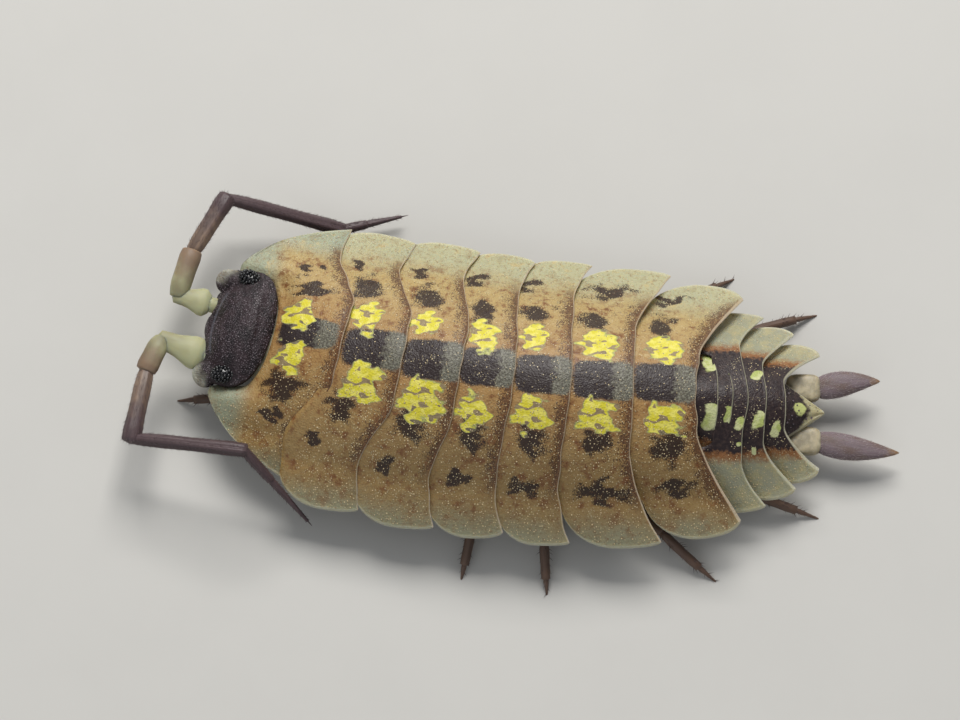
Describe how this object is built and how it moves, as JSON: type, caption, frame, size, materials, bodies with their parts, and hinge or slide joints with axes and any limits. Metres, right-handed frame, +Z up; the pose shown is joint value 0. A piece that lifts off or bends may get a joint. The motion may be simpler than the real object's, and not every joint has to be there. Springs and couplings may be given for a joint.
{
  "type": "woodlouse",
  "caption": "Still life-size woodlouse with a domed body of overlapping shell plates, folded antennae, walking legs and a pointed tail.",
  "frame": {"origin": "on the floor under the middle of the whole animal's bounding box", "axes": "+Z up, -Y towards the head, +X towards the animal's left side"},
  "size_m": [0.0074, 0.0152, 0.0026],
  "materials": {
    "shell": "honey brown shell plates with yellow and dark markings",
    "tail_shell": "near-black brown tail plates with pale sides",
    "dark_shell": "granulated near-black head",
    "skirt": "translucent greenish cream stems",
    "eye": "glossy black eyes",
    "limb": "purple brown legs and feelers",
    "pale": "pale translucent first feeler articles and mouthparts",
    "gill": "pale gill covers"
  },
  "bodies": {
    "root": {"antenna_left_article_2": "pale", "antenna_left_article_3": "pale", "antenna_left_article_4": "limb", "antenna_left_article_5": "limb", "antenna_left_flagellum": "limb", "antenna_right_article_2": "pale", "antenna_right_article_3": "pale", "antenna_right_article_4": "limb", "antenna_right_article_5": "limb", "antenna_right_flagellum": "limb", "eye_left": "eye", "eye_right": "eye", "gill_covers_left": "gill", "gill_covers_right": "gill", "head": "dark_shell", "leg_left_1": "limb", "leg_left_2": "limb", "leg_left_3": "limb", "leg_left_4": "limb", "leg_left_5": "limb", "leg_left_6": "limb", "leg_left_7": "limb", "leg_right_1": "limb", "leg_right_2": "limb", "leg_right_3": "limb", "leg_right_4": "limb", "leg_right_5": "limb", "leg_right_6": "limb", "leg_right_7": "limb", "mouthparts": "pale", "pereonite_1": "shell", "pereonite_2": "shell", "pereonite_3": "shell", "pereonite_4": "shell", "pereonite_5": "shell", "pereonite_6": "shell", "pereonite_7": "shell", "pleonite_1": "tail_shell", "pleonite_2": "tail_shell", "pleonite_3": "tail_shell", "pleonite_4": "tail_shell", "pleonite_5": "tail_shell", "telson": "tail_shell", "uropod_leaf_left": "limb", "uropod_leaf_right": "limb", "uropod_stem_left": "skirt", "uropod_stem_right": "skirt"}
  },
  "joints": []
}
